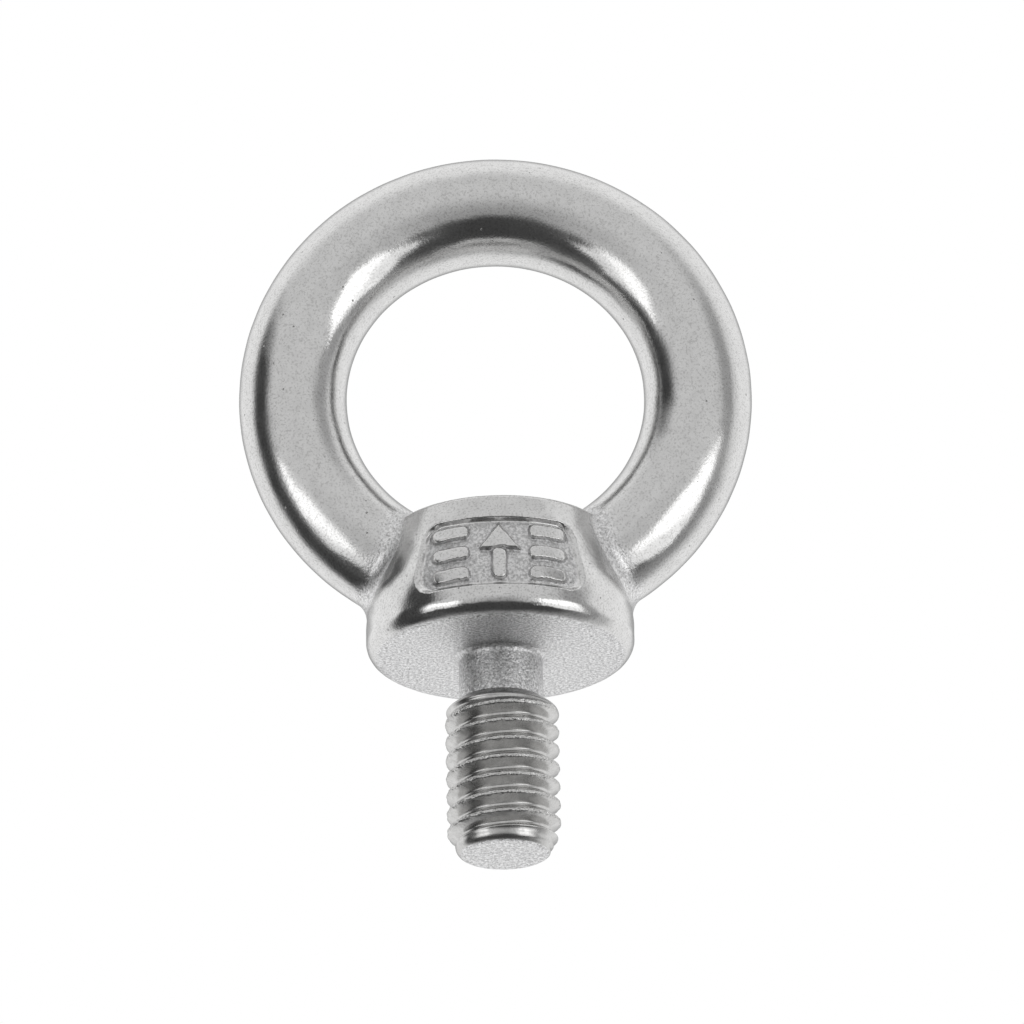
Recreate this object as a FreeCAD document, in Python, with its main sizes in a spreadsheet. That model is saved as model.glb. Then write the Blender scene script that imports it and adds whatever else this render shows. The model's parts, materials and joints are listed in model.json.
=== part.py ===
import FreeCAD, Part
import os
import Sketcher

# Cast stainless steel lifting eye bolt with an M6 x 1 right-hand thread, in millimetres.
#
# The real eye bolt is one casting. It is drawn here as the stretches of metal that a drawing of it
# would name, which meet face to face: the eye ring, the collar that it grows out of, the plain neck,
# the threaded shank, and the raised marks in the collar's sunk panel.
#
# Frame: +Z runs up the shank to the top of the ring, the ring lies in the XZ plane, the panel faces -Y,
# and the origin is on the shank's axis in the plane of the collar's seating face.

DIMENSIONS = (
    # name, value, what it measures
    ("thread_dia", 6.0, "major diameter of the thread"),
    ("thread_pitch", 1.0, "advance of the thread in one turn"),
    ("thread_start", 0.77, "end of the shank down to the middle of the first groove, on the +X side"),
    ("shank_length", 10.9, "seating face to the end of the shank"),
    ("tip_length", 1.05, "tapered lead-in and land at the end of the shank"),
    ("tip_land", 0.65, "straight land at the small end of the lead-in"),
    ("tip_drop", 0.45, "how far the land lies inside the thread's major radius"),
    ("tip_round", 0.5, "round between the land and the end face"),
    ("neck_drop", 0.8, "how far the neck's skin lies inside the thread's major radius"),
    ("neck_length", 2.4, "seating face to the start of the thread's shoulder"),
    ("shoulder_length", 0.6, "taper from the neck out to the thread"),
    ("root_depth", 3.0, "how far the neck's metal is drawn up inside the collar"),
    ("collar_dia", 14.0, "collar at its straight rim"),
    ("collar_top_dia", 11.16, "collar at its top face"),
    ("collar_height", 7.05, "seating face to the collar's top face"),
    ("rim_height", 2.4, "height of the straight rim"),
    ("seat_round", 0.95, "round between the rim and the seating face"),
    ("bar_dia", 5.66, "round bar of the ring"),
    ("eye_dia", 15.64, "clear hole through the ring"),
    ("eye_sink", 0.27, "how far the hole's lowest point lies below the collar's top face"),
    ("panel_angle", 80.0, "width of the sunk panel round the collar, in degrees"),
    ("panel_rise", 1.45, "seating face to the panel's lower edge"),
    ("panel_drop", 1.35, "collar's top face down to the panel's upper edge"),
    ("panel_depth", 0.3, "depth of the sunk panel"),
    ("panel_corner", 0.75, "corner radius of the panel"),
    ("mark_proud", 0.26, "height of the raised marks above the panel's floor"),
    ("edge_margin", 0.45, "panel's upper and lower edges to the marks"),
    ("side_margin", 0.2, "panel's narrowest half width to the outer ends of the marks"),
    ("mark_gap", 0.5, "gap between one mark and the next"),
    ("arrow_width", 2.1, "width of the arrow's head"),
    ("head_height", 1.5, "height of the arrow's head"),
    ("stem_width", 0.75, "width of the arrow's stem"),
)
STRIPES_IN_STACK = 3

# Depth of an ISO metric external thread, the flat left at its root, and the slope of its flanks.
THREAD_DEPTH = "0.61343 * dims.thread_pitch"
ROOT_FLAT = "0.2 * dims.thread_pitch"
FLANK = "tan(30 deg)"
# The thread's cutter stands this far proud of the shank, and other tools reach this far past the metal.
OVERRUN = "0.15"
REACH = "3"
# A corner can take no larger a round than this share of the wall that it is cut in.
ROUND_SHARE = "0.8"

NECK_RADIUS = "dims.thread_dia / 2 - dims.neck_drop"
EYE_CENTRE = "dims.collar_height + dims.eye_dia / 2 - dims.eye_sink"
RING_RADIUS = "(dims.eye_dia + dims.bar_dia) / 2"
PANEL_TOP = "dims.collar_height - dims.panel_drop"
# How much the collar's conical wall draws in for each millimetre of height.
WALL_SLOPE = "(dims.collar_dia - dims.collar_top_dia) / 2 / (dims.collar_height - dims.rim_height)"

doc = FreeCAD.newDocument("eye_bolt")
sheet = doc.addObject("Spreadsheet::Sheet", "dims")
for row, (name, value, meaning) in enumerate(DIMENSIONS, start=1):
    sheet.set(f"A{row}", meaning)
    sheet.set(f"B{row}", str(value))
    sheet.setAlias(f"B{row}", name)
doc.recompute()


def size(text):
    """What an expression in the sheet's names comes to."""
    return float(sheet.evalExpression(text))


def new_body(name):
    """An empty sub-part, whose label is the name of its file."""
    body = doc.addObject("PartDesign::Body", name)
    body.Label = name
    return body


def new_sketch(body, name, role):
    """A sketch on one of the body's own origin planes."""
    sketch = body.newObject("Sketcher::SketchObject", name)
    plane = next(item for item in body.Origin.OriginFeatures if item.Role == role)
    sketch.AttachmentSupport = [(plane, "")]
    sketch.MapMode = "FlatFace"
    return sketch


def bind(sketch, text, kind, *where):
    """Adds a constraint of this kind and binds its value to an expression in the sheet's names."""
    number = sketch.addConstraint(Sketcher.Constraint(kind, *where, size(text)))
    sketch.setExpression(f"Constraints[{number}]", text)


def outline(sketch, corners):
    """A closed outline of straight sides, both coordinates of each corner bound to the sheet."""
    first = sketch.GeometryCount
    places = [FreeCAD.Vector(size(across), size(up), 0) for across, up in corners]
    for start, end in zip(places, places[1:] + places[:1]):
        sketch.addGeometry(Part.LineSegment(start, end))
    for index, (across, up) in enumerate(corners):
        side = first + index
        next_side = first + (index + 1) % len(corners)
        sketch.addConstraint(Sketcher.Constraint("Coincident", side, 2, next_side, 1))
        bind(sketch, across, "DistanceX", side, 1)
        bind(sketch, up, "DistanceY", side, 1)


def turned(body, kind, name, sketch, angle="360"):
    """A Revolution or a Groove of the sketch about its vertical axis, spread evenly about its plane."""
    feature = body.newObject(f"PartDesign::{kind}", name)
    feature.Profile = sketch
    feature.ReferenceAxis = (sketch, ["V_Axis"])
    feature.Midplane = True
    feature.setExpression("Angle", angle)
    doc.recompute()
    return feature


def rounded(body, name, base, wanted, radius):
    """A fillet on the edges of the base feature that `wanted` picks."""
    names = [f"Edge{number}" for number, edge in enumerate(base.Shape.Edges, start=1) if wanted(edge)]
    if not names:
        raise RuntimeError(f"{name} found no edge to round")
    fillet = body.newObject("PartDesign::Fillet", name)
    fillet.Base = (base, names)
    fillet.setExpression("Radius", radius)
    doc.recompute()
    return fillet


def lies_at(edge, height):
    """True where the whole edge lies in the horizontal plane at this height."""
    box = edge.BoundBox
    return abs(box.ZMin - height) < 1e-4 and abs(box.ZMax - height) < 1e-4


def wall_radius(height, inset):
    """The conical wall's radius at a height, moved in by `inset`."""
    return f"dims.collar_dia / 2 - {inset} - ({height} - dims.rim_height) * {WALL_SLOPE}"


def inside_section(foot="0", inset="0"):
    """The half section inside the collar's rim, wall and top face, from `foot` up."""
    rim = f"dims.collar_dia / 2 - {inset}"
    return [
        ("0", foot),
        (rim, foot),
        (rim, "dims.rim_height"),
        (wall_radius("dims.collar_height", inset), "dims.collar_height"),
        ("0", "dims.collar_height"),
    ]


def outside_section(inset):
    """The half section outside the collar's rim and wall, as far out as a mark is padded."""
    rim = f"dims.collar_dia / 2 - {inset}"
    far = f"dims.collar_dia + {REACH}"
    return [
        (rim, "0"),
        (far, "0"),
        (far, "dims.collar_height"),
        (wall_radius("dims.collar_height", inset), "dims.collar_height"),
        (rim, "dims.rim_height"),
    ]


def panel_section():
    """The half section of the sunk panel, on the side of the collar that faces -Y."""
    rim = "-(dims.collar_dia / 2 - dims.panel_depth)"
    far = f"-(dims.collar_dia / 2 + {REACH})"
    top = f"-({wall_radius(PANEL_TOP, 'dims.panel_depth')})"
    return [
        (rim, "dims.panel_rise"),
        (far, "dims.panel_rise"),
        (far, PANEL_TOP),
        (top, PANEL_TOP),
        (rim, "dims.rim_height"),
    ]


def make_eye_ring():
    """The ring, with its two legs cut to the collar's wall and top face."""
    body = new_body("eye_ring")
    bar = new_sketch(body, "bar_section", "XY_Plane")
    bar.setExpression("AttachmentOffset.Base.z", EYE_CENTRE)
    centre = FreeCAD.Vector(size(RING_RADIUS), 0, 0)
    circle = bar.addGeometry(Part.Circle(centre, FreeCAD.Vector(0, 0, 1), size("dims.bar_dia") / 2))
    bar.addConstraint(Sketcher.Constraint("PointOnObject", circle, 3, -1))
    bind(bar, RING_RADIUS, "DistanceX", circle, 3)
    bind(bar, "dims.bar_dia", "Diameter", circle)
    turned(body, "Revolution", "whole_ring", bar)

    collar_space = new_sketch(body, "collar_space", "XZ_Plane")
    outline(collar_space, inside_section(foot="-dims.bar_dia"))
    turned(body, "Groove", "leg_ends", collar_space)
    return body


def make_collar():
    """The conical collar, with a flat seat round the neck and a sunk panel in front."""
    body = new_body("collar")
    section = new_sketch(body, "collar_section", "XZ_Plane")
    outline(section, inside_section())
    turned(body, "Revolution", "collar_blank", section)

    socket_section = new_sketch(body, "socket_section", "XZ_Plane")
    outline(socket_section, [
        ("0", "0"),
        (NECK_RADIUS, "0"),
        (NECK_RADIUS, "dims.root_depth"),
        ("0", "dims.root_depth"),
    ])
    socket = turned(body, "Groove", "neck_socket", socket_section)

    neck_radius = size(NECK_RADIUS)
    rounded(
        body, "seat_edge", socket,
        lambda edge: lies_at(edge, 0) and edge.BoundBox.XMax > neck_radius + 1e-3,
        "dims.seat_round")

    recess_section = new_sketch(body, "recess_section", "YZ_Plane")
    outline(recess_section, panel_section())
    recess = turned(body, "Groove", "recess", recess_section, "dims.panel_angle")
    depth = size("dims.panel_depth")
    # Below, the straight rim limits the corners' round, and above, the slope of the panel's floor does.
    below = f"{ROUND_SHARE} * (dims.rim_height - dims.panel_rise)"
    above = f"{ROUND_SHARE} * dims.panel_depth / ({WALL_SLOPE})"
    rounded(
        body, "recess_corners", recess,
        lambda edge: abs(edge.Length - depth) < 1e-4 and edge.BoundBox.YMax < 0,
        f"min(dims.panel_corner; {below}; {above})")
    return body


def make_panel_marks():
    """An arrow that points at the ring, between two stacks of stripes, raised from the panel's floor."""
    body = new_body("panel_marks")
    marks = new_sketch(body, "marks_section", "XZ_Plane")
    low = "dims.panel_rise + dims.edge_margin"
    high = f"{PANEL_TOP} - dims.edge_margin"
    near = "dims.arrow_width / 2 + dims.mark_gap"
    half_angle = "dims.panel_angle / 2 * 1 deg"
    far = f"({wall_radius(PANEL_TOP, 'dims.panel_depth')}) * sin({half_angle}) - dims.side_margin"
    gaps = f"{STRIPES_IN_STACK - 1} * dims.mark_gap"
    stripe = f"({high} - ({low}) - {gaps}) / {STRIPES_IN_STACK}"
    for side in (-1, 1):
        for level in range(STRIPES_IN_STACK):
            foot = f"{low} + {level} * ({stripe} + dims.mark_gap)"
            head = f"{foot} + {stripe}"
            inner, outer = f"{side} * ({near})", f"{side} * ({far})"
            outline(marks, [(inner, foot), (outer, foot), (outer, head), (inner, head)])
    barb = f"{high} - dims.head_height"
    outline(marks, [
        ("-dims.stem_width / 2", low),
        ("dims.stem_width / 2", low),
        ("dims.stem_width / 2", barb),
        ("dims.arrow_width / 2", barb),
        ("0", high),
        ("-dims.arrow_width / 2", barb),
        ("-dims.stem_width / 2", barb),
    ])
    block = body.newObject("PartDesign::Pad", "marks_block")
    block.Profile = marks
    block.setExpression("Length", f"dims.collar_dia / 2 + {REACH}")
    doc.recompute()

    trim = new_sketch(body, "trim_section", "XZ_Plane")
    outline(trim, inside_section(inset="dims.panel_depth"))
    outline(trim, outside_section("(dims.panel_depth - dims.mark_proud)"))
    turned(body, "Groove", "trimmed_marks", trim)
    return body


def make_neck():
    """The plain neck, drawn up into the collar's metal."""
    body = new_body("neck")
    section = new_sketch(body, "neck_section", "XZ_Plane")
    outline(section, [
        ("0", "dims.root_depth"),
        ("0", "-dims.neck_length"),
        (NECK_RADIUS, "-dims.neck_length"),
        (NECK_RADIUS, "dims.root_depth"),
    ])
    turned(body, "Revolution", "neck_blank", section)
    return body


def make_threaded_shank():
    """The shank, with its shoulder and rounded tip, and a right-hand thread cut along it."""
    body = new_body("threaded_shank")
    section = new_sketch(body, "shank_section", "XZ_Plane")
    crest = "dims.thread_dia / 2"
    outline(section, [
        ("0", "-dims.neck_length"),
        ("0", "-dims.shank_length"),
        (f"{crest} - dims.tip_drop", "-dims.shank_length"),
        (f"{crest} - dims.tip_drop", "dims.tip_land - dims.shank_length"),
        (crest, "dims.tip_length - dims.shank_length"),
        (crest, "-dims.neck_length - dims.shoulder_length"),
        (NECK_RADIUS, "-dims.neck_length"),
    ])
    blank = turned(body, "Revolution", "shank_blank", section)
    end = -size("dims.shank_length")
    rounded(
        body, "tip_edge", blank,
        lambda edge: lies_at(edge, end),
        f"min(dims.tip_round; {ROUND_SHARE} * dims.tip_land)")

    cutter = new_sketch(body, "thread_section", "XZ_Plane")
    root = f"{crest} - {THREAD_DEPTH}"
    outside = f"{crest} + {OVERRUN}"
    start = "-dims.shank_length - dims.thread_start"
    mouth = f"({ROOT_FLAT} / 2 + ({THREAD_DEPTH} + {OVERRUN}) * {FLANK})"
    outline(cutter, [
        (root, f"{start} - {ROOT_FLAT} / 2"),
        (outside, f"{start} - {mouth}"),
        (outside, f"{start} + {mouth}"),
        (root, f"{start} + {ROOT_FLAT} / 2"),
    ])
    thread = body.newObject("PartDesign::SubtractiveHelix", "thread")
    thread.Profile = cutter
    thread.ReferenceAxis = (cutter, ["V_Axis"])
    thread.Mode = "pitch-height-angle"
    thread.setExpression("Pitch", "dims.thread_pitch")
    thread.setExpression(
        "Height", "dims.shank_length + dims.thread_start - dims.neck_length + dims.thread_pitch")
    thread.LeftHanded = False
    doc.recompute()
    if not thread.Shape.Volume < 0.95 * blank.Shape.Volume:
        raise RuntimeError("the thread's cutter took no metal away")
    return body


bodies = [make_eye_ring(), make_collar(), make_panel_marks(), make_neck(), make_threaded_shank()]
doc.recompute()

for item in doc.Objects:
    if "Invalid" in item.State or "Error" in item.State:
        raise RuntimeError(f"{item.Label} did not recompute: {item.State}")
for body in bodies:
    if body.Shape.isNull() or not body.Shape.isValid():
        raise RuntimeError(f"{body.Label} has no valid shape")

os.makedirs("parts", exist_ok=True)
for body in bodies:
    body.Shape.exportStep(f"parts/{body.Label}.step")
    print(body.Label, len(body.Shape.Solids), "solids,", round(body.Shape.Volume, 2), "mm3")
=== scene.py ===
"""Looks of a cast stainless steel eye bolt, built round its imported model.

Lengths are millimetres until a mesh or camera is made, which is where they become metres. Only the room's
are metres from the start.
"""
import json
import math

import bpy
import numpy as np
from mathutils import Matrix, Vector


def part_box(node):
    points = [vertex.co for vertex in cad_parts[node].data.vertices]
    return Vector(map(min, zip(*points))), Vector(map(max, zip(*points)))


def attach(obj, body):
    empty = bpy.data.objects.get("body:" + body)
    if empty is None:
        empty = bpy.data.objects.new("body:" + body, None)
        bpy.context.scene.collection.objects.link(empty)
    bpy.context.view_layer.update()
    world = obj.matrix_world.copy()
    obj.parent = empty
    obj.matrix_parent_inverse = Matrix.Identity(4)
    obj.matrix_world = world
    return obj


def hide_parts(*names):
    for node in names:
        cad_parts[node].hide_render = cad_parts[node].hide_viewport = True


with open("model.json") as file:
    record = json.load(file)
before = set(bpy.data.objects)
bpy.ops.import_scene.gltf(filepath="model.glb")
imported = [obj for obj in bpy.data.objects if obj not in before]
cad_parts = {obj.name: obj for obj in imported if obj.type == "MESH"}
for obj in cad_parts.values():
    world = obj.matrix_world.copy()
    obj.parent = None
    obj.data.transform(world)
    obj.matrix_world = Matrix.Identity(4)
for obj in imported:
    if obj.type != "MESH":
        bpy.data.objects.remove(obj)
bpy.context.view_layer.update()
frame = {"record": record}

MM = 0.001


def node_box(name):
    """Lowest and highest corner of a CAD node."""
    low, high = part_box(name)
    return low / MM, high / MM


# Sizes read from the frame.
RING_LOW, RING_HIGH = node_box("eye_ring")
COLLAR_HIGH = node_box("collar")[1]
NECK_LOW, NECK_HIGH = node_box("neck")
SHANK_LOW = node_box("threaded_shank")[0]
MARKS_LOW, MARKS_HIGH = node_box("panel_marks")
MOUNTS = {mount["name"]: mount for mount in frame["record"]["mounts"]}

RING_OUTER = (RING_HIGH.x - RING_LOW.x) / 2
EYE_RADIUS = MOUNTS["eye"]["dims"]["r_mm"]
EYE_HEIGHT = MOUNTS["eye"]["pos_m"][2] / MM
BAR_RADIUS = (RING_OUTER - EYE_RADIUS) / 2
RING_MIDDLE = (RING_OUTER + EYE_RADIUS) / 2
COLLAR_RADIUS = COLLAR_HIGH.x
COLLAR_TOP = COLLAR_HIGH.z
NECK_RADIUS = NECK_HIGH.x
NECK_END = NECK_LOW.z
THREAD_RADIUS = MOUNTS["thread"]["dims"]["r_mm"]
SHANK_END = SHANK_LOW.z

# Driving dimensions of the casting.
COLLAR_TOP_RADIUS = 5.58
RIM_HEIGHT = 2.4
RIM_BLEND = 0.28
TOP_ROUND = 0.18
SEAT_ROUND = 0.95
LEG_FILLET = 1.0
NECK_FILLET = 0.3

# How far the cast skin wanders from its true shape, and how much closer together the wall's waves are than
# the ring's.
WALL_UNEVEN = 0.012
WALL_WAVES = 1.5
RING_UNEVEN = 0.008
RELIEF_UNEVEN = 0.03

# Where the pieces part: the height of the neck's seam, and how far outside the collar the ring's lies.
NECK_CUT = -0.25
LEG_CUT = 0.4

# The sunk panel on the collar's front. Its width is measured round the collar.
PANEL_LOW = 1.45
PANEL_HIGH = 5.7
PANEL_HALF_ANGLE = math.radians(40.0)
PANEL_CORNER = 1.1
PANEL_DEPTH = 0.3
PANEL_WALL = 0.26

# A low bead just inside the panel's two sides. Its start and full height are shares of the half angle.
BEAD_INSET = 0.2
BEAD_WIDTH = 0.08
BEAD_HEIGHT = 0.12
BEAD_START = 0.8
BEAD_FULL = 0.95

# The marks: an arrow between two stacks of stripes.
STRIPES = 3
MARK_GAP = 0.5
MARK_PROUD = 0.26
MARK_SLOPE = 0.18
MARK_CORNER = 0.34
STRIPE_START = 1.55
ARROW_WIDTH = 2.1
ARROW_HEAD = 1.5
ARROW_STEM = 0.75

# The rolled thread. The crest passes the +X side at CREST_PHASE. CREST_RAGGED is a quarter of its deepest
# wear, which fades over about CREST_REACH from the crest's middle.
THREAD_PITCH = 1.0
FLANK_SLOPE = 1 / math.tan(math.radians(30.0))
CREST_PHASE = -0.17
CREST_FLAT = 0.13
CREST_EASE = 0.05
CREST_RAGGED = 0.022
CREST_REACH = 0.11
ROOT_DEPTH = 0.61
ROOT_EASE = 0.07
RUN_OUT = 1.1

# The shank's shoulder and tip. The tip has a lead-in, a short land and a round edge to its end face.
SHOULDER_LENGTH = 0.6
SHOULDER_EASE = 0.3
TIP_LENGTH = 1.05
TIP_LAND = 0.65
TIP_DROP = 0.45
TIP_EASE = 0.25
TIP_ROUND = 0.5
THREAD_EASE = 0.08
END_UNEVEN = 0.01


# ---------------------------------------------------------------------------------------------------------
# Distances. Each takes arrays of x, y and z and gives how far outside the metal a point lies.

# For the fillet between ring and collar: the least length it divides by, the least share of it that is left
# where the skins run together, and how far from the collar's top edge the wall's skin eases into the top's.
LEAST_LENGTH = 0.1
LEAST_FILLET = 0.02
TOP_BLEND = 0.5


def length(*parts):
    return np.sqrt(sum(part * part for part in parts))


def smooth_step(value, start, end):
    share = np.clip((value - start) / (end - start), 0.0, 1.0)
    return share * share * (3.0 - 2.0 * share)


def blend_of_planes(first, second, width):
    """What lies inside both, with a blunt corner between them eased over about that width."""
    overlap = np.maximum(width - np.abs(first - second), 0.0) / width
    return np.maximum(first, second) + overlap * overlap * width / 4


def rounded_edge(first, second, radius):
    """What lies inside both, with the square edge between them rounded."""
    corner = length(np.maximum(first + radius, 0.0), np.maximum(second + radius, 0.0))
    return np.minimum(np.maximum(first, second), -radius) + corner


def filleted(first, second, radius):
    """What lies inside either, with a fillet where they meet squarely."""
    hollow = length(np.maximum(radius - first, 0.0), np.maximum(radius - second, 0.0))
    return np.maximum(np.minimum(first, second), radius) - hollow


def waviness(x, y, z):
    """Gentle unevenness of a casting, between -1 and 1."""
    total = np.sin(1.9 * x + 1.1 * y - 0.7 * z + 0.4)
    total = total + np.sin(-1.3 * x + 2.3 * y + 1.7 * z + 2.1)
    total = total + np.sin(2.9 * x - 1.9 * y + 2.7 * z + 4.0)
    total = total + np.sin(0.9 * x + 3.3 * y - 3.1 * z + 5.2)
    return total / 4


def ring_distance(x, y, z):
    """Outside of the ring's round bar, with its legs run on inside the collar."""
    return length(length(x, z - EYE_HEIGHT) - RING_MIDDLE, y) - BAR_RADIUS


WALL_SLOPE = (COLLAR_RADIUS - COLLAR_TOP_RADIUS) / (COLLAR_TOP - RIM_HEIGHT)
WALL_COSINE = 1 / math.hypot(1, WALL_SLOPE)
PANEL_MIDDLE = (PANEL_LOW + PANEL_HIGH) / 2
PANEL_RADIUS = COLLAR_RADIUS - max(PANEL_MIDDLE - RIM_HEIGHT, 0.0) * WALL_SLOPE


def side_distance(x, y, z):
    """Outside of the collar's rim and sloping wall."""
    radius = length(x, y)
    wall = (radius - COLLAR_RADIUS + (z - RIM_HEIGHT) * WALL_SLOPE) * WALL_COSINE
    return blend_of_planes(wall, radius - COLLAR_RADIUS, RIM_BLEND)


def plain_collar_distance(x, y, z):
    """Outside of the collar without its panel."""
    body = rounded_edge(side_distance(x, y, z), z - COLLAR_TOP, TOP_ROUND)
    return rounded_edge(body, -z, SEAT_ROUND)


def box_outline(across, up, half_width, half_height, corner):
    """Distance in a plane from a rectangle with round corners."""
    over = across - half_width + corner
    above = up - half_height + corner
    outside = length(np.maximum(over, 0.0), np.maximum(above, 0.0))
    return outside + np.minimum(np.maximum(over, above), 0.0) - corner


def from_front(x, y):
    """Angle round the collar from the middle of its front."""
    return np.abs(np.arctan2(x, -y))


def panel_outline(x, y, z):
    """Distance outside the sunk panel's edge, measured round and up the collar."""
    across = from_front(x, y) * PANEL_RADIUS
    up = np.abs(z - PANEL_MIDDLE)
    return box_outline(
        across, up, PANEL_HALF_ANGLE * PANEL_RADIUS, (PANEL_HIGH - PANEL_LOW) / 2, PANEL_CORNER)


def stripes_outline(x, z):
    """Two stacks of stripes, left and right of the arrow."""
    height = (MARKS_HIGH.z - MARKS_LOW.z - (STRIPES - 1) * MARK_GAP) / STRIPES
    across = np.abs(np.abs(x) - (STRIPE_START + MARKS_HIGH.x) / 2)
    nearest = np.full_like(x, np.inf)
    for index in range(STRIPES):
        middle = MARKS_LOW.z + height / 2 + index * (height + MARK_GAP)
        stripe = box_outline(
            across, np.abs(z - middle), (MARKS_HIGH.x - STRIPE_START) / 2, height / 2, MARK_CORNER)
        nearest = np.minimum(nearest, stripe)
    return nearest


def arrow_outline(x, z):
    """An arrow that points at the ring."""
    head_foot = MARKS_HIGH.z - ARROW_HEAD
    lean = (ARROW_WIDTH / 2) / ARROW_HEAD
    flank = (np.abs(x) - (MARKS_HIGH.z - z) * lean) / math.hypot(1, lean)
    head = np.maximum(flank, head_foot - z)
    stem_height = head_foot - MARKS_LOW.z
    stem = box_outline(
        np.abs(x), np.abs(z - MARKS_LOW.z - stem_height / 2), ARROW_STEM / 2, stem_height / 2, MARK_CORNER)
    return np.minimum(head, stem)


def panel_relief(x, y, z):
    """How deep the metal lies under the collar's plain skin, on its front."""
    outline = panel_outline(x, y, z)
    uneven = RELIEF_UNEVEN * np.sin(4.1 * x + 1.0) * np.sin(5.3 * z + 0.6)
    floor = smooth_step(outline, 0.0, -PANEL_WALL)
    at_side = smooth_step(from_front(x, y), BEAD_START * PANEL_HALF_ANGLE, BEAD_FULL * PANEL_HALF_ANGLE)
    bead = BEAD_HEIGHT * at_side * np.exp(-((outline + BEAD_INSET + uneven) / BEAD_WIDTH) ** 2)
    marks = np.minimum(stripes_outline(x, z), arrow_outline(x, z)) + uneven
    proud = MARK_PROUD * smooth_step(marks, MARK_SLOPE / 2, -MARK_SLOPE / 2)
    return np.where(y < 0.0, PANEL_DEPTH * floor - bead - proud * (floor > 0.5), 0.0)


def collar_distance(x, y, z):
    """Outside of the collar, with its panel and its uneven wall."""
    uneven = WALL_UNEVEN * waviness(WALL_WAVES * x, WALL_WAVES * y, WALL_WAVES * z)
    side = side_distance(x, y, z) + panel_relief(x, y, z) + uneven
    body = rounded_edge(side, z - COLLAR_TOP, TOP_ROUND)
    return rounded_edge(body, -z, SEAT_ROUND)


def leg_fillet(x, y, z):
    """Radius of the fillet between ring and collar. It shrinks where their skins run nearly together."""
    from_eye = length(x, z - EYE_HEIGHT)
    from_bar = np.maximum(ring_distance(x, y, z) + BAR_RADIUS, LEAST_LENGTH)
    outward = (from_eye - RING_MIDDLE) / from_bar / np.maximum(from_eye, LEAST_LENGTH)
    ring_x, ring_y, ring_z = outward * x, y / from_bar, outward * (z - EYE_HEIGHT)
    top_share = smooth_step(z - COLLAR_TOP - side_distance(x, y, z), -TOP_BLEND, TOP_BLEND)
    radius = np.maximum(length(x, y), LEAST_LENGTH)
    wall_share = (1.0 - top_share) * WALL_COSINE
    skin_x, skin_y = wall_share * x / radius, wall_share * y / radius
    skin_z = top_share + wall_share * WALL_SLOPE
    size = np.maximum(length(skin_x, skin_y, skin_z), LEAST_LENGTH)
    agreement = (ring_x * skin_x + ring_y * skin_y + ring_z * skin_z) / size
    return LEG_FILLET * np.clip(1.0 - agreement, LEAST_FILLET, 1.0)


def cast_distance(x, y, z):
    """The whole casting: ring, collar and neck, with the neck drawn on past its end."""
    ring = ring_distance(x, y, z) + RING_UNEVEN * waviness(x, y, z)
    body = filleted(ring, collar_distance(x, y, z), leg_fillet(x, y, z))
    neck = np.maximum(length(x, y) - NECK_RADIUS, z - COLLAR_TOP / 2)
    return filleted(body, neck, NECK_FILLET)


# ---------------------------------------------------------------------------------------------------------
# Meshes from distances

def graded(breaks, steps):
    """Grid lines from the first break to the last, with a step of its own in each stretch."""
    lines = [breaks[0]]
    for start, end, step in zip(breaks, breaks[1:], steps):
        count = max(1, round((end - start) / step))
        lines.extend(start + (end - start) * (i + 1) / count for i in range(count))
    return np.array(lines)


def surface_nets(values, xs, ys, zs):
    """Points and four-sided faces of the zero surface of values on a grid."""
    inside = values < 0
    cells = tuple(n - 1 for n in values.shape)

    def at(corner):
        return tuple(slice(c, c + n) for c, n in zip(corner, cells))

    corners = [(a, b, c) for a in (0, 1) for b in (0, 1) for c in (0, 1)]
    count = sum(inside[at(corner)].astype(np.int8) for corner in corners)
    active = (count > 0) & (count < 8)
    i, j, k = np.nonzero(active)
    number = np.full(active.shape, -1, np.int32)
    number[active] = np.arange(len(i))
    total = np.zeros((len(i), 3))
    crossings = np.zeros(len(i))
    for corner in corners:
        for axis in range(3):
            if corner[axis]:
                continue
            far = tuple(c + (n == axis) for n, c in enumerate(corner))
            near_value = values[i + corner[0], j + corner[1], k + corner[2]]
            far_value = values[i + far[0], j + far[1], k + far[2]]
            crossed = (near_value < 0) != (far_value < 0)
            share = np.where(crossed, near_value / np.where(crossed, near_value - far_value, 1.0), 0.0)
            near = np.stack([xs[i + corner[0]], ys[j + corner[1]], zs[k + corner[2]]], 1)
            beyond = np.stack([xs[i + far[0]], ys[j + far[1]], zs[k + far[2]]], 1)
            total += np.where(crossed[:, None], near + (beyond - near) * share[:, None], 0.0)
            crossings += crossed
    points = total / crossings[:, None]

    quads = []
    for axis in range(3):
        side, up = [n for n in range(3) if n != axis]
        low = [slice(None)] * 3
        high = [slice(None)] * 3
        low[axis], high[axis] = slice(0, -1), slice(1, None)
        before, after = inside[tuple(low)], inside[tuple(high)]
        edge = np.stack(np.nonzero(before != after), 1)
        keep = (edge[:, side] > 0) & (edge[:, up] > 0)
        keep &= (edge[:, side] < cells[side]) & (edge[:, up] < cells[up])
        edge = edge[keep]
        ring = []
        for step_side, step_up in ((-1, -1), (0, -1), (0, 0), (-1, 0)):
            cell = edge.copy()
            cell[:, side] += step_side
            cell[:, up] += step_up
            ring.append(number[tuple(cell.T)])
        quad = np.stack(ring, 1)
        leaving = before[tuple(edge.T)]
        forward = leaving if axis != 1 else ~leaving
        quads.append(np.where(forward[:, None], quad, quad[:, ::-1]))
    return points, np.concatenate(quads)


def gradient(distance, points, step=0.01):
    """Slope of a distance at each point."""
    slopes = []
    for axis in range(3):
        offset = np.zeros(3)
        offset[axis] = step
        ahead = distance(*(points + offset).T)
        behind = distance(*(points - offset).T)
        slopes.append((ahead - behind) / (2 * step))
    return np.stack(slopes, 1)


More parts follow.
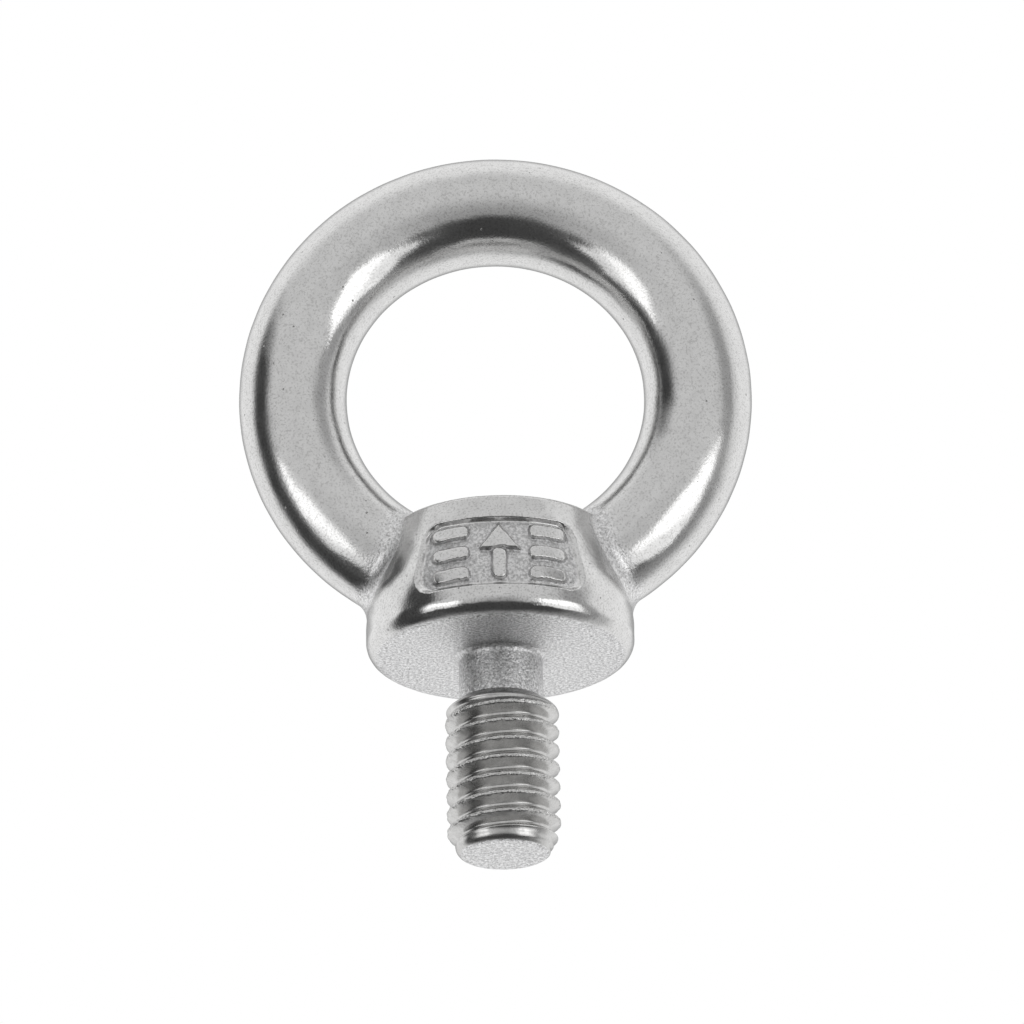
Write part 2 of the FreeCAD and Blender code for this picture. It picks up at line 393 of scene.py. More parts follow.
def settled(points, *distances, rounds=4, reach=0.06):
    """The points moved on to the zero surface of every distance in turn."""
    for _ in range(rounds):
        for distance in distances:
            slope = gradient(distance, points)
            steep = np.maximum((slope * slope).sum(1), 0.05)
            move = np.clip(distance(*points.T) / steep, -reach, reach)
            points = points - move[:, None] * slope
    return points


def unit(vectors):
    """The vectors at length 1."""
    return vectors / np.maximum(np.linalg.norm(vectors, axis=1, keepdims=True), 1e-9)


def leg_cut_distance(x, y, z):
    """Positive on the ring's side of the line where ring and collar pieces meet."""
    return plain_collar_distance(x, y, z) - LEG_CUT


def neck_cut_distance(x, y, z):
    """Positive on the neck's side of the line where neck and collar pieces meet."""
    return NECK_CUT - z


def neck_end_distance(x, y, z):
    """Positive past the neck's end."""
    return NECK_END - z


# Grid steps: over the panel, over the seams and fillets, past the panel's sides, through the middle and over
# the plain ring.
PANEL_STEP = 0.085
SEAM_STEP = 0.11
SIDE_STEP = 0.12
MIDDLE_STEP = 0.13
RING_STEP = 0.2

# How far each stretch of the grid runs past what it covers.
NECK_MARGIN = 0.35
COLLAR_MARGIN = 0.3
TOP_MARGIN = 1.2
MARKS_MARGIN = 1.0
FRONT_MARGIN = 0.9
RING_MARGIN = 0.5

# How many layers of the grid are worked out at a time, to save memory.
GRID_LAYERS = 24

# Steps for the slope that shades the skin and the slope that its masks follow.
SHADING_STEP = 0.012
MASK_STEP = 0.02


def cast_grid():
    """Grid lines along X, Y and Z, closest together over the panel."""
    side = COLLAR_RADIUS + COLLAR_MARGIN
    outer = RING_OUTER + RING_MARGIN
    panel_reach = MARKS_HIGH.x + MARKS_MARGIN
    front = COLLAR_RADIUS * math.cos(PANEL_HALF_ANGLE) - FRONT_MARGIN
    xs = graded(
        [-outer, -side, -panel_reach, panel_reach, side, outer],
        [RING_STEP, SIDE_STEP, PANEL_STEP, SIDE_STEP, RING_STEP])
    ys = graded([-side, -front, front, side], [PANEL_STEP, MIDDLE_STEP, SEAM_STEP])
    zs = graded(
        [NECK_END - NECK_MARGIN, 0.0, PANEL_HIGH + COLLAR_MARGIN, COLLAR_TOP + TOP_MARGIN,
         EYE_HEIGHT + outer],
        [SEAM_STEP, PANEL_STEP, SEAM_STEP, RING_STEP])
    return xs, ys, zs


def cast_mesh():
    """Points, faces and the piece of each face: 0 collar, 1 ring, 2 neck."""
    xs, ys, zs = cast_grid()
    layers = []
    for start in range(0, len(xs), GRID_LAYERS):
        x, y, z = np.meshgrid(xs[start:start + GRID_LAYERS], ys, zs, indexing="ij")
        layers.append(cast_distance(x, y, z))
    points, faces = surface_nets(np.concatenate(layers), xs, ys, zs)
    points = settled(points, cast_distance)

    middles = points[faces].mean(1)
    past_end = neck_end_distance(*middles.T) > 0
    piece = np.where(leg_cut_distance(*middles.T) > 0, 1, 0)
    piece[neck_cut_distance(*middles.T) > 0] = 2
    faces, piece = faces[~past_end], piece[~past_end]

    def seam(first, second):
        return np.intersect1d(faces[first].ravel(), faces[second].ravel())

    leg_seam = seam(piece == 1, piece == 0)
    neck_seam = seam(piece == 2, piece == 0)
    end_seam = np.unique(open_edges(faces))
    points[leg_seam] = settled(points[leg_seam], leg_cut_distance, cast_distance, rounds=6)
    points[neck_seam] = settled(points[neck_seam], neck_cut_distance, cast_distance, rounds=6)
    points[end_seam] = settled(points[end_seam], neck_end_distance, cast_distance, rounds=6)
    return points, faces, piece


def open_edges(faces):
    """Edges that only one face has, as pairs in that face's direction."""
    ring = np.concatenate([
        np.stack([faces[:, n], faces[:, (n + 1) % faces.shape[1]]], 1) for n in range(faces.shape[1])])
    reach = ring.max() + 1
    forward = ring[:, 0].astype(np.int64) * reach + ring[:, 1]
    backward = ring[:, 1].astype(np.int64) * reach + ring[:, 0]
    return ring[~np.isin(forward, backward)]


def loops(edges):
    """Edges grouped into closed loops."""
    following = dict(map(tuple, edges))
    groups = []
    while following:
        start = next(iter(following))
        group = []
        here = start
        while here in following:
            there = following.pop(here)
            group.append((here, there))
            here = there
        groups.append(group)
    return groups


def capped(points, quads):
    """The quads' own points with a fan over each open loop. Returns points, quads, triangles."""
    used, faces = np.unique(quads, return_inverse=True)
    faces = faces.reshape(quads.shape)
    points = points[used]
    centres = []
    fans = []
    for loop in loops(open_edges(faces)):
        centre = len(points) + len(centres)
        centres.append(points[[start for start, _ in loop]].mean(0))
        fans.extend((end, start, centre) for start, end in loop)
    return np.concatenate([points, np.array(centres)]), faces, np.array(fans)


def face_normals(points, faces):
    """Outward normals of triangles."""
    first = points[faces[:, 1]] - points[faces[:, 0]]
    second = points[faces[:, 2]] - points[faces[:, 0]]
    return unit(np.cross(first, second))


def new_piece(name, points, faces, corner_normals, masks):
    """A mesh object from points in millimetres, with a normal for each face corner and masks by name."""
    mesh = bpy.data.meshes.new(name)
    mesh.from_pydata((points * MM).tolist(), [], faces)
    mesh.polygons.foreach_set("use_smooth", np.ones(len(faces), bool))
    for mask, values in masks.items():
        layer = mesh.attributes.new(mask, "FLOAT", "POINT")
        layer.data.foreach_set("value", np.ascontiguousarray(values, np.float32))
    mesh.normals_split_custom_set(corner_normals.tolist())
    piece = bpy.data.objects.new(name, mesh)
    bpy.context.scene.collection.objects.link(piece)
    return piece


# Where each finish of the cast skin, and its painted shade, starts and is full: how squarely the skin faces
# down, then distances out from the neck, the ring, the collar, the axis, the panel's edge, the collar's wall
# (twice) and its rim.
UNDERSIDE_DOWN = 0.8, 0.97
EDGE_DOWN = 0.95, 0.7
NECK_REACH = 0.9, 0.2
RING_REACH = 1.0, 0.1
COLLAR_REACH = 1.3, 0.25
CROTCH_RADII = 3.2, 4.6
PANEL_INSIDE = -0.22, -0.36
FLOOR_BELOW = -0.1, -0.2
WALL_REACH = 0.3, 0.0
EDGE_INSIDE = -1.2, -0.6

# The skin under the collar lies below this height.
UNDERSIDE_TOP = 1.0

# How strong a finish, or the painted shade round the neck, is where it isn't full.
CROTCH_BLAST = 0.7
WALL_SATIN = 0.6
NECK_PAINTED_SHADE = 0.4


def cast_masks(points):
    """Where the casting is sandblasted, darkened by painted shade (the panel's floor and round the neck),
    satin and worn bright, from 0 to 1.
    """
    x, y, z = points.T
    radius = length(x, y)
    from_side = side_distance(x, y, z)
    down = -unit(gradient(cast_distance, points, MASK_STEP))[:, 2]
    under = smooth_step(down, *UNDERSIDE_DOWN) * (z < UNDERSIDE_TOP)
    neck = smooth_step(radius - NECK_RADIUS, *NECK_REACH) * (z < UNDERSIDE_TOP)
    near_ring = smooth_step(ring_distance(x, y, z), *RING_REACH)
    near_collar = smooth_step(plain_collar_distance(x, y, z), *COLLAR_REACH)
    crotch = near_ring * near_collar * smooth_step(radius, *CROTCH_RADII)
    panel = smooth_step(panel_outline(x, y, z), *PANEL_INSIDE) * (y < 0)
    floor = panel * smooth_step(from_side, *FLOOR_BELOW)
    on_wall = smooth_step(from_side, *WALL_REACH)
    edge = smooth_step(z, RIM_HEIGHT, SEAT_ROUND) * smooth_step(down, *EDGE_DOWN)
    return {
        "blast": np.maximum.reduce([under, neck, CROTCH_BLAST * crotch, floor]),
        # Painted shade, on the sunk panel's floor and, more faintly, round the neck under the collar.
        "painted_shade": np.maximum(floor, NECK_PAINTED_SHADE * neck),
        "satin": np.maximum(panel, WALL_SATIN * on_wall),
        "edge": edge * smooth_step(radius - COLLAR_RADIUS, *EDGE_INSIDE)}


def make_cast_pieces():
    """The collar, ring and neck, cut from one mesh and closed over their seams."""
    points, quads, piece_of = cast_mesh()
    made = []
    for number, name in enumerate(("collar_skin", "eye_ring_skin", "neck_skin")):
        own_points, skin, fans = capped(points, quads[piece_of == number])
        corner_normals = unit(gradient(cast_distance, own_points, SHADING_STEP))[skin.ravel()]
        fan_normals = np.repeat(face_normals(own_points, fans), 3, axis=0)
        made.append(new_piece(
            name, own_points, skin.tolist() + fans.tolist(),
            np.concatenate([corner_normals, fan_normals]), cast_masks(own_points)))
    return made


# ---------------------------------------------------------------------------------------------------------
# The threaded shank, as rings of points from its shoulder to the middle of its end face

THREAD_TURN = 256
THREAD_STEP = 0.026
ROUND_RINGS = 14
END_RINGS = 26
END_HUB = 0.04

# The blasted end face runs this far up its round edge and starts this far in from the land, as shares of the
# round's radius.
END_RISE = 0.2
END_INSET = 0.5


def crest_offset(angle, z):
    """How far up or down the nearest crest is."""
    turns = (z - CREST_PHASE) / THREAD_PITCH - angle / (2 * math.pi)
    return np.abs(turns - np.round(turns)) * THREAD_PITCH


def raggedness(angle, z):
    """Uneven wear along the crest, between -2 and 2."""
    return np.sin(53 * angle + 9 * z) * np.sin(37 * angle - 5 * z) + np.sin(23 * angle + 7 * z)


def crest_radius(angle, z):
    """Radius of the rolled thread: a narrow, slightly ragged crest and 60 degree flanks."""
    offset = crest_offset(angle, z)
    flank = (offset - CREST_FLAT / 2) * FLANK_SLOPE
    depth = blend_of_planes(flank, 0.0 * flank, CREST_EASE)
    depth = -blend_of_planes(-depth, -ROOT_DEPTH + 0.0 * flank, ROOT_EASE)
    worn = CREST_RAGGED * (2.0 - raggedness(angle, z)) * np.exp(-(offset / CREST_REACH) ** 2)
    start = NECK_END - SHOULDER_LENGTH / 2
    cut = smooth_step(z, start, start - RUN_OUT)
    return THREAD_RADIUS - (worn + depth) * cut


def blank_radius(z):
    """Radius of the shank before its thread: shoulder, shank, lead-in, land and the end's round."""
    shoulder = NECK_RADIUS + (NECK_END - z) * (THREAD_RADIUS - NECK_RADIUS) / SHOULDER_LENGTH
    up = z - SHANK_END
    land = THREAD_RADIUS - TIP_DROP
    lead = land + (up - TIP_LAND) * TIP_DROP / (TIP_LENGTH - TIP_LAND)
    tip = blend_of_planes(lead, land + 0.0 * z, TIP_EASE)
    radius = -blend_of_planes(-shoulder, 0.0 * z - THREAD_RADIUS, SHOULDER_EASE)
    radius = -blend_of_planes(-radius, -tip, SHOULDER_EASE)
    drop = np.clip(TIP_ROUND - up, 0.0, TIP_ROUND)
    return radius - TIP_ROUND + np.sqrt(TIP_ROUND ** 2 - drop ** 2)


def shank_points():
    """Rings of points, from the top down and then in across the end face."""
    angle = np.arange(THREAD_TURN) * 2 * math.pi / THREAD_TURN
    straight = np.arange(NECK_END, SHANK_END + TIP_ROUND, -THREAD_STEP)
    bend = SHANK_END + TIP_ROUND * (1.0 - np.sin(np.linspace(0.0, math.pi / 2, ROUND_RINGS)))
    heights = np.concatenate([straight, bend])
    rows = []
    for z in heights:
        level = np.full_like(angle, z)
        blank = blank_radius(level)
        radius = -blend_of_planes(-blank, -crest_radius(angle, level), THREAD_EASE)
        rows.append(np.stack([radius * np.cos(angle), radius * np.sin(angle), level], 1))
    rim = rows[-1]
    for share in np.linspace(1.0, END_HUB, END_RINGS)[1:]:
        row = rim.copy()
        row[:, :2] *= share
        uneven = waviness(2.5 * row[:, 0], 2.5 * row[:, 1], 7.0) * (1 - share ** 4)
        row[:, 2] += END_UNEVEN * (1 + uneven)
        rows.append(row)
    return np.stack(rows)


def make_shank():
    """The shank, with quads between its rings and a fan of triangles over each end."""
    rows = shank_points()
    count = len(rows)
    points = rows.reshape(-1, 3)
    around = np.arange(THREAD_TURN)
    after = (around + 1) % THREAD_TURN
    quads = np.concatenate([
        np.stack([row * THREAD_TURN + around, (row + 1) * THREAD_TURN + around,
                  (row + 1) * THREAD_TURN + after, row * THREAD_TURN + after], 1)
        for row in range(count - 1)])
    top, foot = len(points), len(points) + 1
    points = np.concatenate([points, [[0, 0, NECK_END]], [[0, 0, rows[-1][:, 2].mean()]]])
    last = (count - 1) * THREAD_TURN
    fans = np.concatenate([
        np.stack([around, after, np.full_like(around, top)], 1),
        np.stack([last + after, last + around, np.full_like(around, foot)], 1)])

    down = np.gradient(rows, axis=0)
    along = (np.roll(rows, -1, 1) - np.roll(rows, 1, 1)) / 2
    normals = unit(np.cross(down.reshape(-1, 3), along.reshape(-1, 3)))
    fan_normals = np.repeat(face_normals(points, fans), 3, axis=0)
    x, y, z = points.T
    end_face = z < SHANK_END + TIP_ROUND * END_RISE
    centre = length(x, y) < THREAD_RADIUS - TIP_DROP - TIP_ROUND * END_INSET
    crest = np.exp(-(crest_offset(np.arctan2(y, x), z) / CREST_REACH) ** 2)
    crest = crest * smooth_step(z, SHANK_END + TIP_LAND, SHANK_END + TIP_LENGTH)
    return new_piece(
        "threaded_shank_skin", points, quads.tolist() + fans.tolist(),
        np.concatenate([normals[quads.ravel()], fan_normals]),
        {"blast": (end_face & centre) * 1.0, "crest": crest})


# ---------------------------------------------------------------------------------------------------------
# Materials

# Colours, each pair from the darker tone to the paler one.
CAST_TONES = (0.61, 0.608, 0.604, 1.0), (0.66, 0.658, 0.654, 1.0)
THREAD_TONES = (0.50, 0.497, 0.49, 1.0), (0.59, 0.587, 0.58, 1.0)
SAND_TONES = (0.55, 0.55, 0.554, 1.0), (0.92, 0.92, 0.924, 1.0)
FLOOR_TONES = (0.86, 0.86, 0.86, 1.0), (0.9, 0.9, 0.9, 1.0)
# The pits' colour, which the painted shade on the cast skin also darkens towards.
PIT_AND_SHADE_COLOUR = (0.14, 0.135, 0.13, 1.0)

# Roughness of the polished skin, the rolled thread, the sandblasted skins and the floor.
POLISHED = 0.14, 0.21
ROLLED = 0.2, 0.3
BLASTED_CAST = 0.35
BLASTED_END = 0.36
FLOOR_ROUGHNESS = 0.9

# How the finishes change roughness: the worn edge, the satin wall and a pit.
EDGE_SHINE = -0.07
SATIN = 0.07
PIT_ROUGHNESS = 0.25

# How far pits and the painted shade go towards the pit's colour, and specks on the plain skin and on the
# blasted one.
PIT_SHARE = 0.65
PAINTED_SHADE_SHARE = 0.3
CAST_SPECKS = 0.3, 0.55
THREAD_SPECKS = 0.15, 0.55

# How many features each texture has in a millimetre.
POLISH_SCALE = 0.5
CAST_TONE_SCALE = 1.7
CAST_GRAIN_SCALE = 7.0
PIT_SCALE = 1.9
PIT_EDGE_SCALE = 7.0
SAND_SCALE = 5.5
SAND_TONE_SCALE = 6.5
SPECK_SCALE = 9.0
ROLLED_SCALE = 1.3
THREAD_TONE_SCALE = 2.4
THREAD_GRAIN_SCALE = 9.0
THREAD_MARK_SCALES = 0.6, 0.6, 22.0
NICK_SCALE = 5.0

# How deep each texture's relief is.
CAST_GRAIN_DEPTH = 0.007
PIT_DEPTH = 0.05
SAND_DEPTH = 0.05
THREAD_GRAIN_DEPTH = 0.005
THREAD_MARK_DEPTH = 0.004
NICK_DEPTH = 0.12

# How much the pits' radii and their ragged edges vary, in cells of their pattern. The share that are only
# specks comes first.
SPECK_SHARE = 0.62
PIT_SIZE = 0.11
PIT_RAGGED = 0.12


class Nodes:
    """A short way to write a node tree."""

    def __init__(self, tree):
        self.tree = tree

    def add(self, kind, inputs=None, **settings):
        node = self.tree.nodes.new(kind)
        for name, value in settings.items():
            setattr(node, name, value)
        for name, value in (inputs or {}).items():
            socket = node.inputs[name]
            if isinstance(value, bpy.types.NodeSocket):
                self.tree.links.new(value, socket)
            else:
                socket.default_value = value
        return node

    def math(self, operation, *values):
        return self.add("ShaderNodeMath", dict(enumerate(values)), operation=operation).outputs[0]

    def ramp(self, value, start, end, low=0.0, high=1.0):
        """Eases from low to high as value goes from start to end."""
        names = ("Value", "From Min", "From Max", "To Min", "To Max")
        inputs = dict(zip(names, (value, start, end, low, high)))
        return self.add("ShaderNodeMapRange", inputs, interpolation_type="SMOOTHSTEP").outputs["Result"]

    def mix(self, share, first, second):
        """A number between two others."""
        return self.add("ShaderNodeMix", {"Factor": share, 2: first, 3: second}).outputs[0]

    def colour(self, share, first, second):
        """A colour between two others."""
        inputs = {"Factor": share, "A": first, "B": second}
        return self.add("ShaderNodeMix", inputs, data_type="RGBA").outputs["Result"]

    def bump(self, strength, depth, height, under=None):
        """A normal from a height. Its depth is in millimetres, and it lies on the normal under it."""
        inputs = {"Strength": strength, "Distance": depth * MM, "Height": height}
        if under is not None:
            inputs["Normal"] = under
        return self.add("ShaderNodeBump", inputs).outputs["Normal"]

    def noise(self, where, scale, detail=2.0, roughness=0.5):
        inputs = {"Vector": where, "Scale": scale, "Detail": detail, "Roughness": roughness}
        return self.add("ShaderNodeTexNoise", inputs).outputs["Fac"]

    def mask(self, name):
        """One of the masks that new_piece stores on a mesh."""
        return self.add("ShaderNodeAttribute", attribute_name=name).outputs["Fac"]

    def link(self, value, socket):
        self.tree.links.new(value, socket)


def new_material(name, metallic):
    """A material, its nodes and its shader."""
    material = bpy.data.materials.new(name)
    material.use_nodes = True
    nodes = Nodes(material.node_tree)
    shader = material.node_tree.nodes["Principled BSDF"]
    shader.inputs["Metallic"].default_value = metallic
    return material, nodes, shader


def in_millimetres(nodes):
    """Object coordinates scaled so that texture scales are counts per millimetre."""
    place = nodes.add("ShaderNodeTexCoord").outputs["Object"]
    inputs = {0: place, "Scale": 1 / MM}
    return nodes.add("ShaderNodeVectorMath", inputs, operation="SCALE").outputs["Vector"]


def pits(nodes, where):
    """Small scattered casting pits: 1 in a pit, 0 elsewhere."""
    inputs = {"Vector": where, "Scale": PIT_SCALE, "Randomness": 1.0}
    spots = nodes.add("ShaderNodeTexVoronoi", inputs, feature="F1")
    chosen = nodes.add("ShaderNodeSeparateColor", {"Color": spots.outputs["Color"]}).outputs["Red"]
    size = nodes.ramp(chosen, SPECK_SHARE, 1.0, 0.0, PIT_SIZE)
    ragged = nodes.math("MULTIPLY", nodes.noise(where, PIT_EDGE_SCALE), PIT_RAGGED)
    reach = nodes.math("ADD", nodes.math("SUBTRACT", spots.outputs["Distance"], size), ragged)
    return nodes.ramp(reach, 0.07, 0.02)


def sand_colour(nodes, where):
    """The mottled tone of sandblasted steel."""
    return nodes.colour(nodes.ramp(nodes.noise(where, SAND_TONE_SCALE, 2.0, 0.7), 0.38, 0.62), *SAND_TONES)


def specks(nodes, where, blast, on_plain, on_blasted):
    """Share of dark specks on the plain skin and on the sandblasted skin."""
    speck = nodes.ramp(nodes.noise(where, SPECK_SCALE, 2.0, 0.7), 0.5, 0.36)
    return nodes.math("MULTIPLY", speck, nodes.ramp(blast, 0.0, 1.0, on_plain, on_blasted))


def sand_bump(nodes, where, blast, under):
    """The grain of sandblasting, over the normal under it."""
    return nodes.bump(blast, SAND_DEPTH, nodes.noise(where, SAND_SCALE, 3.0, 0.75), under)


def cast_stainless():
    """Investment-cast stainless steel: polished skin with fine grain and pits, sandblasted where masked, with
    painted shade on the panel's floor and round the neck.
    """
    material, nodes, shader = new_material("cast_stainless_skin", 1.0)
    where = in_millimetres(nodes)
    blast = nodes.mask("blast")
    pit = pits(nodes, where)

    polished = nodes.ramp(nodes.noise(where, POLISH_SCALE, 3.0), 0.3, 0.7, *POLISHED)
    worn = nodes.math("MULTIPLY_ADD", nodes.mask("edge"), EDGE_SHINE, polished)
    satin = nodes.math("MULTIPLY_ADD", nodes.mask("satin"), SATIN, worn)
    skin = nodes.mix(blast, satin, BLASTED_CAST)
    nodes.link(nodes.math("MULTIPLY_ADD", pit, PIT_ROUGHNESS, skin), shader.inputs["Roughness"])

    tint = nodes.colour(nodes.ramp(nodes.noise(where, CAST_TONE_SCALE, 4.0, 0.6), 0.3, 0.7), *CAST_TONES)
    pale = nodes.colour(blast, tint, sand_colour(nodes, where))
    # Painted shade: the sunk panel's floor and the skin round the neck, under the collar, are darkened
    # towards the pit's colour.
    painted_shade = nodes.math("MULTIPLY", nodes.mask("painted_shade"), PAINTED_SHADE_SHARE)
    specks_and_shade = nodes.math("MAXIMUM", specks(nodes, where, blast, *CAST_SPECKS), painted_shade)
    darkened = nodes.math("MAXIMUM", nodes.math("MULTIPLY", pit, PIT_SHARE), specks_and_shade)
    nodes.link(nodes.colour(darkened, pale, PIT_AND_SHADE_COLOUR), shader.inputs["Base Color"])

    fine = nodes.bump(0.7, CAST_GRAIN_DEPTH, nodes.noise(where, CAST_GRAIN_SCALE, 2.0, 0.6))
    hollow = nodes.bump(0.8, PIT_DEPTH, nodes.math("SUBTRACT", 0.0, pit), fine)
    nodes.link(sand_bump(nodes, where, blast, hollow), shader.inputs["Normal"])
    return material


def rolled_thread():
    """Bright rolled stainless steel: fine marks round the thread, nicked crests and a blasted end face."""
    material, nodes, shader = new_material("rolled_thread_skin", 1.0)
    where = in_millimetres(nodes)
    blast = nodes.mask("blast")

    bright = nodes.ramp(nodes.noise(where, ROLLED_SCALE, 3.0), 0.3, 0.7, *ROLLED)
    nodes.link(nodes.mix(blast, bright, BLASTED_END), shader.inputs["Roughness"])

    tint = nodes.colour(nodes.ramp(nodes.noise(where, THREAD_TONE_SCALE, 3.0, 0.6), 0.3, 0.7), *THREAD_TONES)
    pale = nodes.colour(blast, tint, sand_colour(nodes, where))
    specked = nodes.colour(specks(nodes, where, blast, *THREAD_SPECKS), pale, PIT_AND_SHADE_COLOUR)
    nodes.link(specked, shader.inputs["Base Color"])

    stretched = nodes.add("ShaderNodeMapping", {"Vector": where, "Scale": THREAD_MARK_SCALES})
    marks = nodes.noise(stretched.outputs["Vector"], 1.0, 2.0)
    fine = nodes.bump(0.3, THREAD_GRAIN_DEPTH, nodes.noise(where, THREAD_GRAIN_SCALE, 2.0, 0.6))
    lined = nodes.bump(0.3, THREAD_MARK_DEPTH, marks, fine)
    nicked = nodes.bump(nodes.mask("crest"), NICK_DEPTH, nodes.noise(where, NICK_SCALE, 2.0, 0.6), lined)
    nodes.link(sand_bump(nodes, where, blast, nicked), shader.inputs["Normal"])
    return material


def studio_floor():
    """A plain pale floor, faintly clouded."""
    material, nodes, shader = new_material("studio_floor", 0.0)
    where = nodes.add("ShaderNodeTexCoord").outputs["Object"]
    nodes.link(nodes.colour(nodes.noise(where, 2.0), *FLOOR_TONES), shader.inputs["Base Color"])
    shader.inputs["Roughness"].default_value = FLOOR_ROUGHNESS
    return material


# ---------------------------------------------------------------------------------------------------------
# Studio: camera, lamps, surroundings and floor. The studio's front looks along the camera's own line, so the
# two large lamps stand left and right of it.

# The camera: angles in degrees, distance and lens in millimetres.
VIEW_AZIMUTH = -0.296
VIEW_ELEVATION = -21.61
VIEW_ROLL = -1.168
VIEW_DISTANCE = 662.85
VIEW_LENS = 444.55
VIEW_SHIFT = (0.0142, -0.0130)
AIM = Vector((0.0, 0.0, 9.0))

# The room, in metres.
FLOOR_DROP = 0.3
FLOOR_SIZE = 6.0
LAMP_DISTANCE = 0.45

# Brightness of the backdrop that the camera sees and of what the steel reflects, where 1 is white.
BACKDROP = 1.0
ROOM = 1.12
OPPOSITE_CAMERA = 0.42
ABOVE_CAMERA = 0.4, 0.8
BELOW_CAMERA = 0.07, 0.4
LEFT_DARK = 0.06
RIGHT_DARK = 0.36

# Where each stretch of the surroundings starts and is full, in degrees away from the camera.
ABOVE_ANGLES = 0.0, 45.0
BELOW_ANGLES = 55.0, 88.0
ROOM_ANGLES = 82.0, 112.0
OPPOSITE_ANGLES = 138.0, 166.0

# Two dark strips stand left and right of the bolt. Their core is a share of their half width, they lean a
# little, and the right one is fainter.
STRIP_CORE = 0.35
STRIP_LEAN = 0.16
RIGHT_STRENGTH = 0.85


def toward_camera():
    """Direction from the bolt to the camera."""
    azimuth, elevation = math.radians(VIEW_AZIMUTH), math.radians(VIEW_ELEVATION)
    return Vector((
        math.sin(azimuth) * math.cos(elevation),
        -math.cos(azimuth) * math.cos(elevation),
        math.sin(elevation)))


def view_axes():
    """Right, up and back of the camera, before its roll."""
    back = toward_camera()
    right = (-back).cross(Vector((0, 0, 1))).normalized()
    return right, right.cross(-back), back


def make_camera():
    """A long lens below the bolt's seat, turned a little about its own line."""
    right, up, back = view_axes()
    roll = Matrix.Rotation(math.radians(VIEW_ROLL), 3, back)
    right, up = roll @ right, roll @ up
    camera = bpy.data.objects.new("camera", bpy.data.cameras.new("camera"))
    camera.data.sensor_width = 36.0
    camera.data.lens = VIEW_LENS
    camera.data.shift_x, camera.data.shift_y = VIEW_SHIFT
    camera.data.clip_start, camera.data.clip_end = 0.01, 20.0
    turn = Matrix((right, up, back)).transposed().to_4x4()
    camera.matrix_world = Matrix.Translation((AIM + back * VIEW_DISTANCE) * MM) @ turn
    bpy.context.scene.collection.objects.link(camera)
    bpy.context.scene.camera = camera


def make_lamp(name, across, above, width, height, brightness):
    """A soft rectangular lamp that faces the bolt, at angles right of and above the studio's front."""
    right, up, back = view_axes()
    side, rise = math.radians(across), math.radians(above)
    toward = (back * math.cos(side) + right * math.sin(side)) * math.cos(rise) + up * math.sin(rise)
    light = bpy.data.lights.new(name, "AREA")
    light.shape = "RECTANGLE"
    light.size = 2 * LAMP_DISTANCE * math.tan(math.radians(width / 2))
    light.size_y = 2 * LAMP_DISTANCE * math.tan(math.radians(height / 2))
    light.energy = brightness * math.pi * light.size * light.size_y
    lamp = bpy.data.objects.new(name, light)
    lamp.visible_camera = False
    sideways = up.cross(toward).normalized()
    upright = toward.cross(sideways)
    turn = Matrix((sideways, upright, toward)).transposed().to_4x4()
    lamp.matrix_world = Matrix.Translation(AIM * MM + toward * LAMP_DISTANCE) @ turn
    bpy.context.scene.collection.objects.link(lamp)


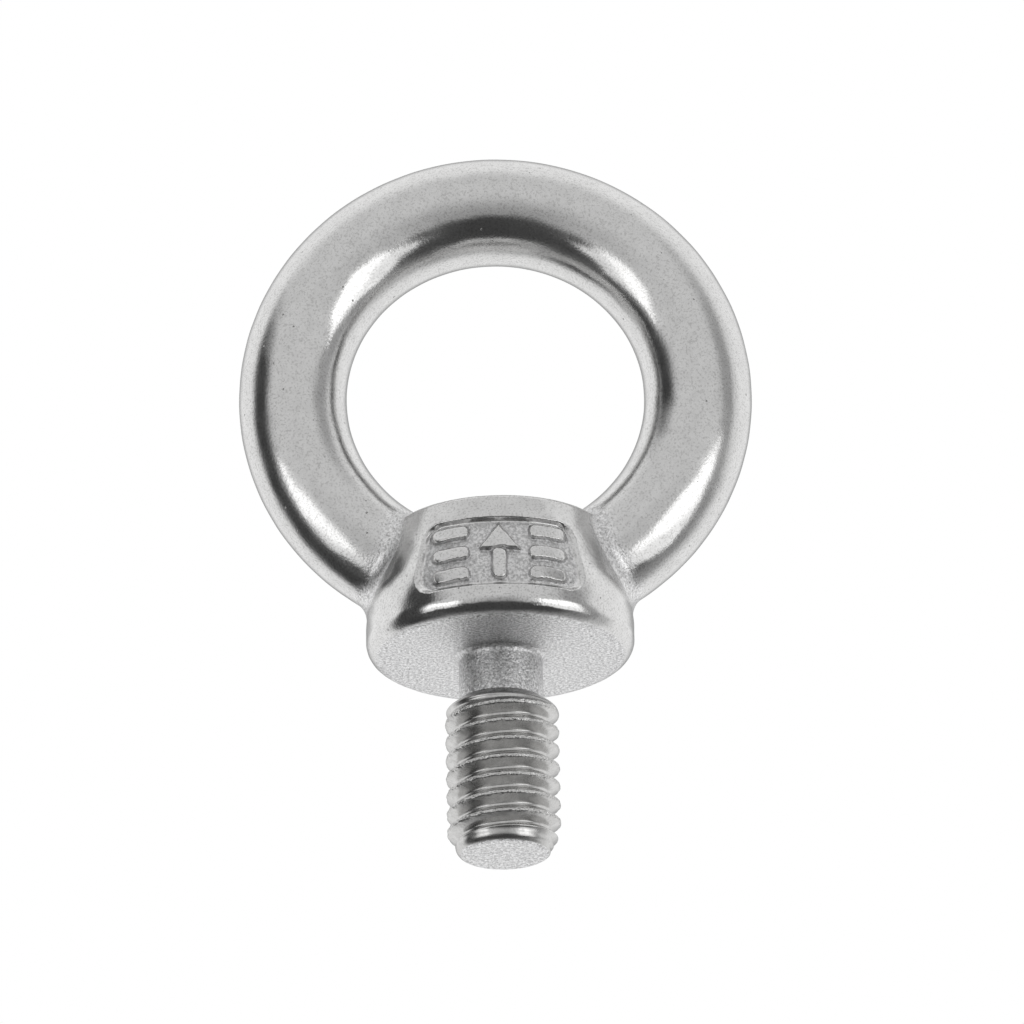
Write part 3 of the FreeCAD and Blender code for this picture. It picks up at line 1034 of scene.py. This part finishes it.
def make_surroundings():
    """A white backdrop, and for reflections a pale room with darker parts towards and opposite the camera."""
    world = bpy.data.worlds.new("studio")
    bpy.context.scene.world = world
    world.use_nodes = True
    nodes = Nodes(world.node_tree)
    output = world.node_tree.nodes["World Output"]
    shader = world.node_tree.nodes["Background"]
    direction = nodes.add("ShaderNodeTexCoord").outputs["Generated"]
    right, up, back = view_axes()

    def along(axis):
        inputs = {0: direction, 1: tuple(axis)}
        return nodes.add("ShaderNodeVectorMath", inputs, operation="DOT_PRODUCT").outputs["Value"]

    front, side, rise = along(back), along(right), along(up)
    behind = nodes.math("DEGREES", nodes.math("ARCCOSINE", front))
    spread = nodes.math("SQRT", nodes.math("SUBTRACT", 1.0001, nodes.math("MULTIPLY", front, front)))
    sideways = nodes.math("DIVIDE", nodes.math("MULTIPLY_ADD", rise, STRIP_LEAN, side), spread)

    high = nodes.ramp(behind, *ABOVE_ANGLES, *ABOVE_CAMERA)
    low = nodes.ramp(behind, *BELOW_ANGLES, *BELOW_CAMERA)
    facing = nodes.mix(nodes.ramp(rise, 0.0, -0.2), high, low)
    far = nodes.ramp(behind, *OPPOSITE_ANGLES, ROOM, OPPOSITE_CAMERA)
    all_round = nodes.mix(nodes.ramp(behind, *ROOM_ANGLES), facing, far)

    def strip(start, full, middle, half_width):
        """An upright strip, eased from start to full sideways and, in degrees, round its middle."""
        near = nodes.ramp(sideways, start, full)
        off = nodes.math("ABSOLUTE", nodes.math("SUBTRACT", behind, middle))
        return nodes.math("MULTIPLY", near, nodes.ramp(off, half_width, half_width * STRIP_CORE))

    on_left = strip(start=-0.47, full=-0.76, middle=83.0, half_width=24.0)
    on_right = nodes.math(
        "MULTIPLY", strip(start=0.55, full=0.86, middle=77.0, half_width=17.0), RIGHT_STRENGTH)
    shaded = nodes.mix(on_right, nodes.mix(on_left, all_round, LEFT_DARK), RIGHT_DARK)
    seen = nodes.add("ShaderNodeLightPath").outputs["Is Camera Ray"]
    nodes.link(nodes.mix(seen, shaded, BACKDROP), shader.inputs["Strength"])
    shader.inputs["Color"].default_value = (1.0, 1.0, 1.0, 1.0)
    nodes.link(shader.outputs[0], output.inputs["Surface"])


def make_floor():
    """The floor, below the camera's view and left out of the steel's reflections."""
    half = FLOOR_SIZE / 2
    mesh = bpy.data.meshes.new("floor")
    mesh.from_pydata(
        [(-half, -half, -FLOOR_DROP), (half, -half, -FLOOR_DROP),
         (half, half, -FLOOR_DROP), (-half, half, -FLOOR_DROP)], [], [(0, 1, 2, 3)])
    floor = bpy.data.objects.new("floor", mesh)
    bpy.context.scene.collection.objects.link(floor)
    mesh.materials.append(studio_floor())
    floor.visible_glossy = False


# ---------------------------------------------------------------------------------------------------------

# The studio, and then the pieces, each fixed to the root body, with the CAD parts they replace hidden.

bpy.context.scene.view_settings.view_transform = "Standard"
make_camera()
make_lamp("left_lamp", across=-48.5, above=-3.0, width=29.0, height=34.0, brightness=1.0)
make_lamp("right_lamp", across=51.0, above=-4.0, width=38.0, height=42.0, brightness=1.15)
make_surroundings()
make_floor()

collar_skin, eye_ring_skin, neck_skin = make_cast_pieces()
threaded_shank_skin = make_shank()

steel = cast_stainless()
for piece in (collar_skin, eye_ring_skin, neck_skin):
    piece.data.materials.append(steel)
    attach(piece, "root")
threaded_shank_skin.data.materials.append(rolled_thread())
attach(threaded_shank_skin, "root")

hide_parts("eye_ring")
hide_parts("collar", "panel_marks")
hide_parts("neck")
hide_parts("threaded_shank")
